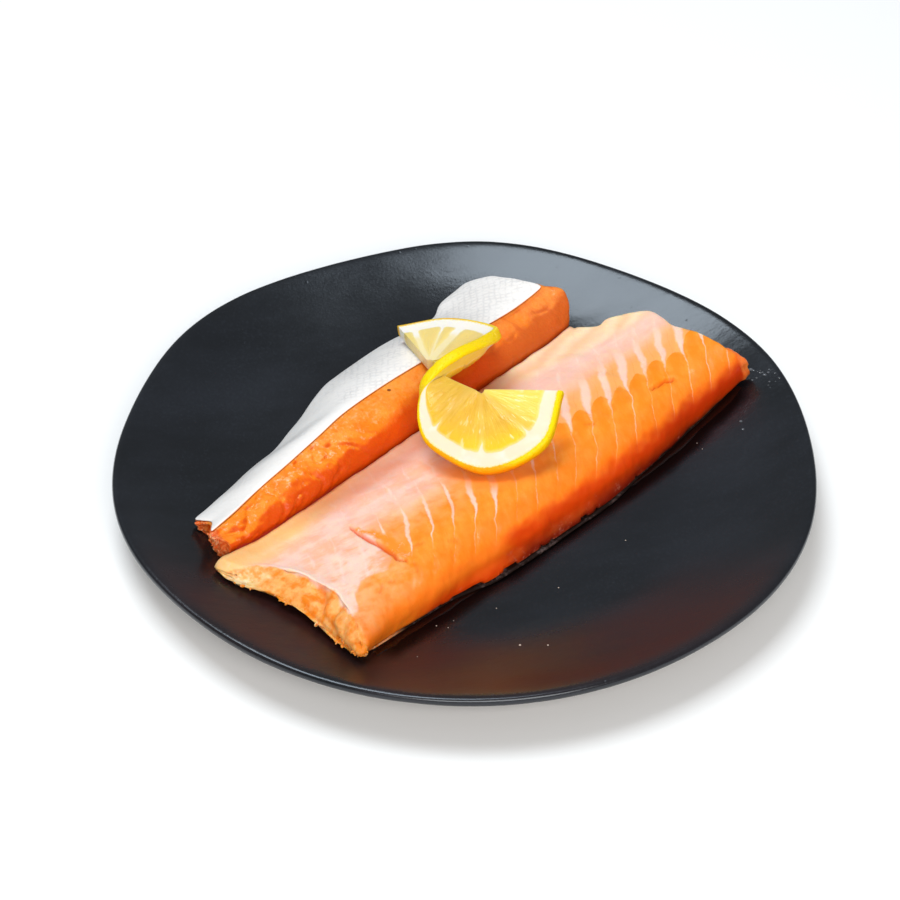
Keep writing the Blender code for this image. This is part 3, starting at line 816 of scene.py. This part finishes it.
def skin_paint():
    """Pale skin with a faint net of scales, painted light in orange on its cut edge, painted shade
    below.
    """
    paint = Paint("pale_skin")
    along, across = paint.along, paint.across
    strip = paint.strip_point()
    wobble = (paint.cloud(strip, 0.16, 3) - 0.5) * 1.3
    one = (along / SCALE_ALONG + across / SCALE_ACROSS + wobble).wrapped()
    other = (along / SCALE_ALONG - across / SCALE_ACROSS + wobble).wrapped()
    wide, fine = paint.cloud(strip, 0.07, 3), paint.cloud(strip, 0.5, 3)
    net = one.least(other).step(0.34, 0.0) * (fine * 0.7 + wide * 0.5).step(0.42, 0.72)
    fade = (wide + along * 0.003).step(0.38, 0.62)
    grey = (wide * 1.2 + fine * 0.5 - 0.45).most(0) * 0.3 + along.step(30, 70) * 0.1
    colour = paint.over(
        paint.blend("FAF6F2", "E0D6D1", grey),
        ("B9B8BA", net * (fade * 0.26 + 0.02)),
        # painted light: orange over the shade of the edge faces turned from the light
        ("F8924A", paint.mark("side").step(0.1, 0.7) * 0.85),
        # painted shade on the faces that look down
        ("43251C", paint.mark("under")))
    paint.set(Base_Color=colour, Roughness=0.36 + wide * 0.1, Coat_Weight=0.3,
              Normal=paint.bump((1 - net * fade) * 0.6 + wide * 0.8 + fine * 0.6, 0.0004, 0.6))
    moist(paint, 0.08, PALE_SKIN_GLOW, coat_roughness=0.12)
    return paint.material


def make_rear_strip():
    flesh = refined("rear_belly_flesh", "rear_strip_flesh", levels=2, corner=math.radians(60))
    skin = refined("rear_belly_skin", "rear_strip_skin", levels=2)
    cover = surface_tree(skin)

    def relief(point, normal):
        """The flesh meets the skin along its edge."""
        gap = cover.find_nearest(point)[3] / MM
        return mix(0.55, rear_relief(point, normal), smoothstep(gap, 0.6, 2.0))

    push_out(flesh, relief)
    shift(flesh, draw_in)
    mark_points(flesh, outward=outward_at)
    belongs(flesh, rear_flesh_paint(), "salmon_flesh", "rear_belly_flesh")

    def is_torn(point, normal):
        along, across = strip_place(point)
        past_end = along - max(across - 30, 0) * 0.3 < -100.5
        return past_end and normal.z < 0.3 and point.z > 11 * MM

    add_crumbs(flesh, "rear_torn_crumbs", is_torn, count=70, largest=1.2, seed=SEED + 1)
    push_out(skin, lambda point, _: 0.12 * rough(point, 9, 21.0))
    shift(skin, draw_in)
    # marks for the skin's painted light on its edge and painted shade below
    mark_points(skin, side=away_from_light, under=lambda _, normal: smoothstep(-normal.z, 0.1, 0.4))
    belongs(skin, skin_paint(), "fish_skin", "rear_belly_skin")


# ---- the lemon -------------------------------------------
lemon_hub, lemon_middle, lemon_rim = (
    smooth_through([(spoke[0], spoke[part]) for spoke in LEMON_SPOKES]) for part in (1, 2, 3))


def lemon_sheet(turn, share):
    """A point of the slice's middle surface, in mm.

    The turn is in degrees and the share runs from 0 at the hub to 1 at the rim.
    """
    hub, middle, rim = lemon_hub(turn), lemon_middle(turn), lemon_rim(turn)
    return (hub * (1 - share) * (1 - 2 * share) + middle * 4 * share * (1 - share)
            + rim * share * (2 * share - 1))


def lemon_normal(turn, share):
    """The direction out of the first face."""
    around = lemon_sheet(min(turn + 0.5, 360), share) - lemon_sheet(max(turn - 0.5, 0), share)
    outwards = lemon_sheet(turn, min(share + 0.05, 1)) - lemon_sheet(turn, max(share - 0.05, 0))
    return outwards.cross(around).normalized()


def pulp_inside(turn, share):
    """How many mm inside a segment a place is: above 0 in the pulp."""
    walls = (math.radians(abs(turn - wall)) * share * LEMON_REACH - width
             for wall, width in LEMON_MEMBRANES)
    return min((PULP_SHARE - share) * LEMON_REACH, *walls)


def lemon_place(turn, index):
    """A point and its share on the ring round one spoke.

    The ring runs out along the first face, round the rim and back along the other face.
    """
    if index <= LEMON_FACE_STEPS:
        share, side, bulge = mix(HUB_SHARE, RIND_SHARE, index / LEMON_FACE_STEPS), 0.5, 0.0
    elif index < LEMON_FACE_STEPS + LEMON_RIM_STEPS:
        angle = math.pi * (index - LEMON_FACE_STEPS) / LEMON_RIM_STEPS
        share = mix(RIND_SHARE, 1.0, min(math.sin(angle) * 1.6, 1.0))
        side, bulge = 0.5 * math.cos(angle), 0.35 * math.sin(angle)
    else:
        step = index - LEMON_FACE_STEPS - LEMON_RIM_STEPS
        share, side, bulge = mix(RIND_SHARE, HUB_SHARE, step / LEMON_FACE_STEPS), -0.5, 0.0
    on_face = abs(side) == 0.5
    normal = lemon_normal(turn, share)
    point = lemon_sheet(turn, share) + normal * LEMON_THICKNESS * side
    if on_face and share < RIND_SHARE:
        puff = smoothstep(pulp_inside(turn, share), -0.3, 1.6)
        grain = noise.noise(Vector((turn * 0.22, share * 6, side)))
        relief = 0.30 * puff - 0.25 + 0.15 * puff * grain
        point += normal * math.copysign(1, side) * relief
    outward = (lemon_rim(turn) - lemon_middle(turn)).normalized()
    return (point + outward * bulge) * MM, share if on_face else 1.0


def make_lemon():
    ring = 2 * LEMON_FACE_STEPS + LEMON_RIM_STEPS + 1
    bm = bmesh.new()
    bmesh.ops.create_grid(bm, x_segments=LEMON_STATIONS, y_segments=ring, size=0.5)
    turns = bm.verts.layers.float.new("turn")
    shares = bm.verts.layers.float.new("share")
    for vert in bm.verts:
        station = round((vert.co.x + 0.5) * LEMON_STATIONS)
        index = round((vert.co.y + 0.5) * ring) % ring
        turn = 360 * station / LEMON_STATIONS
        vert.co, share = lemon_place(turn, index)
        vert[turns], vert[shares] = turn, share
    bmesh.ops.remove_doubles(bm, verts=bm.verts, dist=0.001 * MM)
    rim = [edge for edge in bm.edges if edge.is_boundary]
    ends = bmesh.ops.holes_fill(bm, edges=rim, sides=0)["faces"]
    bmesh.ops.triangulate(bm, faces=ends)
    bmesh.ops.recalc_face_normals(bm, faces=bm.faces)
    fruit = mesh_object("lemon_slice", bm)
    fruit.data.set_sharp_from_angle(angle=math.radians(55))
    return belongs(fruit, lemon_paint(), "lemon", "lemon_twist")


def lemon_paint():
    """Pulp in segments between pale walls, then pith and yellow rind, with light and shade painted
    in.
    """
    paint = Paint("lemon_cut")
    turn, share = paint.mark("turn"), paint.mark("share")
    fruit = paint.world_point()
    fine, blots = paint.cloud(fruit, 1.4, 2), paint.cloud(fruit, 0.16, 2)
    bent = turn + (blots - 0.5) * 5
    reach = share * math.radians(1) * LEMON_REACH
    rear = turn.step(255, 275)
    flare = (share.step(0.45, 0.82) ** 2 + rear).least(1)
    to_wall = None
    for wall, width in LEMON_MEMBRANES:
        gap = abs(bent - wall) * reach - flare * width
        to_wall = gap if to_wall is None else to_wall.least(gap)
    to_pith = (PULP_SHARE + (blots - 0.5) * 0.06 - share) * LEMON_REACH
    inside = to_wall.maths("SMOOTH_MIN", to_pith, 3.0)
    pulp = (inside + (1 - flare) * 0.45).step(-0.30, 0.30)
    veined = inside.step(1.2, 0.1) * pulp
    rays = paint.cloud(paint.point(turn * 0.30, share * 1.1, 0.0), 1.2, 3, 0.6)
    sacs = paint.point(turn * 0.13, share * 2.6, blots * 0.8)
    sac_walls = paint.cells(sacs, 1.7, "DISTANCE_TO_EDGE")
    dashes = paint.cloud(paint.point(turn * 0.26 + blots * 2, share * 5.0, 3.0), 1.0, 2, 0.4)

    flesh = paint.over(
        paint.blend("DDAD3A", "E8C04C", (rays * 0.5 + blots * 0.6).step(0.40, 0.70)),
        ("F5D02C", share.step(0.45, 0.78) * turn.step(35, 60) * 0.8),
        ("F8DC68", turn.step(60, 20) * 0.8),
        ("FBEBB0", dashes.step(0.60, 0.70) * share.step(0.20, 0.40) * 0.75),
        ("F9E08C", (1 - sac_walls.step(0.0, 0.07)) * rays.step(0.50, 0.70) * 0.5),
        ("E2B03C", turn.step(95, 130) * 0.55),
        # painted light: the rear wing is paler where it is strongly lit
        ("F3D888", rear * 0.85),
        # painted glow: the twisted band is saturated yellow, as if lit through, where it lies in
        # shade
        ("FBCB24", turn.step(176, 190) * turn.step(262, 250) * 0.9),
        ("F7E2A0", veined * (flare * 0.5 + 0.1)))
    pith = paint.over(
        # the pith is paler on the rear wing: painted light
        paint.blend("EEDFC4", "F6EFE4", (blots * 0.7 + rear * 0.5).step(0.35, 0.65)),
        ("F4DE98", share.step(0.70, 0.55) * 0.75),
        # painted glow on the twisted band's pith
        ("FAD436", turn.step(185, 200) * turn.step(262, 250) * 0.9),
        ("F5DC90", (share + (fine - 0.5) * 0.05).step(0.925, 0.950) * 0.8))
    pores = paint.cells(fruit, 0.85)
    # painted shade: the rind is darker orange low down, yellow higher up
    rind = paint.blend("F2A408", "FFD404", (paint.height + (blots - 0.5) * 8).step(24, 31))
    rind = paint.over(rind, ("E89C06", pores.step(0.28, 0.10) * 0.35))
    peel = (share + (fine - 0.5) * 0.030).step(0.945, 0.958)
    colour = paint.over(pith, (flesh, pulp), (rind, peel))

    relief = paint.bump(sac_walls.step(0.0, 0.14) * pulp + dashes * 0.6, 0.0004, 0.22)
    relief = paint.bump(pores.step(0.05, 0.5) * peel, 0.0004, 0.5, under=relief)
    paint.set(Base_Color=colour, Roughness=0.46 - pulp * 0.16 - peel * 0.08,
              Coat_Weight=pulp * 0.3, Normal=relief)
    moist(paint, 0.50, LEMON_GLOW, depth=0.007)
    return paint.material


# ---- the plate -------------------------------------------
def plate_relief(point, _):
    """Slow unevenness of a hand-pressed plate, kept off its foot."""
    if point.z < PLATE_FOOT * MM:
        return 0.0
    reach = math.hypot(point.x, point.y) / MM
    height = 0.35 * rough(point, 46, 31.0) + 0.06 * rough(point, 15, 33.0)
    return height * smoothstep(reach, 10, 60)


def plate_paint():
    """Dark glaze with soft streaks and fine pits, and a painted red reflection of the salmon on the
    front wall.
    """
    paint = Paint("plate_glaze")
    x, y = paint.x, paint.y
    spot = paint.world_point()
    slanted = paint.point(x * 0.35 + y * 0.1, y - x * 0.35, paint.height)
    wide, streaks = paint.cloud(spot, 0.016, 3), paint.cloud(slanted, 0.035, 4, 0.6)
    fine = paint.cloud(spot, 0.9, 2)
    pits = paint.cells(spot, 0.13)
    reach = paint.node("ShaderNodeVectorMath", {"operation": "LENGTH"}, [paint.point(x, y)],
                       output="Value")
    front_wall = (y * -1 - abs(x + 10) * 0.12).step(30, 85)
    front_wall = front_wall * reach.step(86, 104) * reach.step(137, 126)
    # painted reflection: the salmon's dark red mirrored in the front wall
    reflection_tint = front_wall * (wide * 0.7 + streaks * 0.6).step(0.38, 0.74)
    colour = paint.over(
        paint.blend("0D0E10", "181A1F", (wide * 0.5 + streaks * 0.6).step(0.4, 0.75)),
        ("20242A", (fine + streaks * 0.4).step(0.72, 0.95) * 0.4),
        ("30100A", reflection_tint * 0.9))
    roughness = 0.15 + streaks * 0.12 + (fine - 0.5) * 0.04 + front_wall * 0.12
    waves = paint.bump(streaks * 0.7 + wide, 0.004, 0.12)
    pitted = paint.bump(pits.step(0.02, 0.10), 0.0002, 0.25, under=waves)
    paint.set(Base_Color=colour, Roughness=roughness, IOR=1.56, Coat_Weight=0.0,
              Specular_Tint=GLAZE_SHEEN,
              Normal=paint.bump(fine, 0.0002, 0.15, under=pitted))
    return paint.material


def make_plate():
    plate = refined("plate", "stoneware_plate", levels=2)
    push_out(plate, plate_relief)
    return belongs(plate, plate_paint(), "plate_glaze", "plate")


# ---- juice, drops and crumbs on the plate ----------------
def surface_under(obj):
    """Gives a function for the height of a piece's upper face at a world X and Y."""
    tree = surface_tree(obj)

    def height(x, y):
        above = Vector((x, y, 0.2))
        return tree.ray_cast(above, Vector((0, 0, -1)))[0].z

    return height


def film_paint(name, tint, alpha):
    paint = Paint(name)
    paint.set(Base_Color=(*tint, 1), Roughness=0.06, Alpha=alpha, IOR=1.34, Coat_Weight=0.5,
              Coat_Roughness=0.03)
    return paint.material


def ribbon(name, length, breadth, place):
    """A thin sheet laid by place(share along, share across)."""
    bm = bmesh.new()
    bmesh.ops.create_grid(bm, x_segments=length, y_segments=breadth, size=0.5)
    for vert in bm.verts:
        vert.co = place(vert.co.x + 0.5, vert.co.y + 0.5)
    bmesh.ops.recalc_face_normals(bm, faces=bm.faces)
    return mesh_object(name, bm)


def ripple(along, size, seed):
    """A slow rise and fall along the strip, between -1 and 1."""
    return noise.noise(Vector((along / size, seed, 0)))


def film_share(point, _):
    """1 under the front strip's lower edge, falling to 0 where the dark film of painted shadow
    ends.
    """
    along, across = strip_place(point)
    out = read_curve(FRONT_EDGE, along) - across
    ends = between(along, (FILM_STARTS, -84), (100, FILM_ENDS))
    return (1 - smoothstep(out + 1.5 * rough(point, 9, 51.0), 2, 8.5)) * ends


# a near-black, barely shiny sheet: painted shadow and painted reflection of the dark flank
def shadow_film_paint():
    paint = Paint("shadow_film")
    paint.set(Base_Color=(0.004, 0.002, 0.002, 1), Roughness=0.2, IOR=1.15,
              Alpha=paint.mark("inner") * 0.9)
    return paint.material


def make_juice(plate_height):
    """The wet line and a dark film of painted shadow at the front strip's foot, and painted shade
    in the seam.
    """
    def puddle(share, out):
        along = mix(JUICE_STARTS, JUICE_ENDS, share)
        width = JUICE_WIDTH + 0.7 * ripple(along, 13, 4.0) + 0.3 * ripple(along, 4, 9.0)
        width *= between(along, (JUICE_STARTS, -86), (100, JUICE_ENDS))
        x, y = world_place(along, read_curve(FRONT_EDGE, along) + 2.5 - (2.5 + width) * out)
        return x, y, plate_height(x, y) + (JUICE_LIFT + 0.35 * (1 - out ** 3)) * MM

    def film(share, out):
        along = mix(FILM_STARTS, FILM_ENDS, share)
        width = FILM_WIDTH + 2.5 * ripple(along, 26, 14.0) + ripple(along, 8, 19.0)
        x, y = world_place(along, read_curve(FRONT_EDGE, along) + 3 - (3 + width) * out)
        return x, y, plate_height(x, y) + FILM_LIFT * MM

    def seam(share, out):
        along = mix(SEAM_STARTS, SEAM_ENDS, share)
        middle = SEAM_ACROSS + SEAM_DRIFT * along
        x, y = world_place(along, middle + mix(-SEAM_HALF_WIDTH, SEAM_HALF_WIDTH, out))
        return x, y, plate_height(x, y) + (SEAM_LIFT - 1.2 * math.sin(math.pi * out)) * MM

    juice = ribbon("fish_juice", 260, 7, puddle)
    belongs(juice, film_paint("thin_juice", tint=(0.02, 0.006, 0.004), alpha=0.55), "plate_glaze")

    # painted shadow and painted reflection at the front strip's foot
    wet = ribbon("shadow_film", 200, 24, film)
    mark_points(wet, inner=film_share)
    belongs(wet, shadow_film_paint(), "plate_glaze")

    # painted shade: a dark red sheet closing the crease between the strips
    seam_shade_sheet = ribbon("seam_shade_sheet", 90, 4, seam)
    dark = Paint("seam_painted_shade")
    dark.set(Base_Color=shade("B22A04"), Roughness=0.3)
    belongs(seam_shade_sheet, dark.material, "salmon_flesh")


def scatter(name, slot, material, places, plate_height, flatness):
    """Small round bits at (along, across, radius in mm), sunk a little into the plate's glaze."""
    bm = bmesh.new()
    for along, across, radius in places:
        x, y = world_place(along, across)
        spot = (x, y, plate_height(x, y) + radius * flatness * 0.4 * MM)
        shape = (radius * MM, radius * MM * 0.85, radius * flatness * MM, 1)
        place = Matrix.Translation(spot) @ Matrix.Diagonal(shape)
        bmesh.ops.create_icosphere(bm, subdivisions=2, radius=1, matrix=place)
    bits = mesh_object(name, bm)
    belongs(bits, material, slot)


def make_bits(plate_height):
    """Water drops right of the front strip and a few crumbs of flesh below it."""
    draw = random.Random(SEED)
    drops = [(117, -45, 0.9), (117, -52, 0.8), (93.5, -59.7, 0.7), (90.4, -63.3, 0.6),
             (119, -41, 0.7)]
    for _ in range(26):
        drops.append((draw.uniform(112, 121), draw.uniform(-60, -34), draw.uniform(0.2, 0.6)))
    water = film_paint("drop_water", tint=(0.3, 0.33, 0.36), alpha=0.3)
    scatter("water_drops", "plate_glaze", water, drops, plate_height, flatness=0.45)
    crumbs = [(-54.7, -81.1, 0.45), (-48.2, -88.5, 0.35)]
    for _ in range(9):
        along = draw.uniform(-90, 100)
        across = read_curve(FRONT_EDGE, along) - draw.uniform(3, 22)
        crumbs.append((along, across, draw.uniform(0.14, 0.3)))
    crumb = Paint("flesh_crumb")
    crumb.set(Base_Color=shade("B9A79A"), Roughness=0.4)
    scatter("flesh_crumbs", "salmon_flesh", crumb.material, crumbs, plate_height, flatness=0.6)


# ---- stage, light and camera -----------------------------
def make_stage():
    bm = bmesh.new()
    bmesh.ops.create_grid(bm, x_segments=1, y_segments=1, size=3)
    floor = mesh_object("studio_floor", bm)
    paper = Paint("studio_paper")
    paper.set(Base_Color=(0.95, 0.95, 0.95, 1), Roughness=0.9)
    floor.data.materials.append(paper.material)


def softbox(name, towards, distance, size, power, tint):
    """A rectangular area light that faces the middle of the view."""
    lamp = bpy.data.lights.new(name, "AREA")
    lamp.shape = "RECTANGLE"
    lamp.size, lamp.size_y = size
    lamp.energy, lamp.color = power, tint
    obj = bpy.data.objects.new(name, lamp)
    direction = Vector(towards).normalized()
    obj.location = VIEW_TARGET + direction * distance
    obj.rotation_euler = direction.to_track_quat("Z", "Y").to_euler()
    bpy.context.scene.collection.objects.link(obj)


def make_light():
    softbox("key_light", towards=(-0.20, 0.21, 0.92), distance=1.5, size=(0.8, 0.8),
            power=KEY_POWER, tint=KEY_TINT)
    softbox("fill_light", towards=(0.12, -0.82, 0.58), distance=2.2, size=(1.6, 1.2),
            power=FILL_POWER, tint=FILL_TINT)
    world = bpy.data.worlds.new("studio_air")
    world.use_nodes = True
    air = world.node_tree.nodes["Background"].inputs
    air["Color"].default_value = AIR_TINT
    air["Strength"].default_value = AIR_STRENGTH
    bpy.context.scene.world = world
    bpy.context.scene.view_settings.view_transform = "Standard"


def make_camera():
    camera = bpy.data.objects.new("photo_view", bpy.data.cameras.new("photo_view"))
    camera.data.lens = VIEW_LENS
    elevation = math.radians(VIEW_ELEVATION)
    back = Vector((0, -math.cos(elevation), math.sin(elevation)))
    camera.location = VIEW_TARGET + back * VIEW_DISTANCE
    camera.rotation_euler = back.to_track_quat("Z", "Y").to_euler()
    bpy.context.scene.collection.objects.link(camera)
    bpy.context.scene.camera = camera


make_camera()
plate = make_plate()
lemon = make_lemon()
make_front_strip(lemon)
make_rear_strip()
plate_height = surface_under(plate)
make_juice(plate_height)
make_bits(plate_height)
make_stage()
make_light()
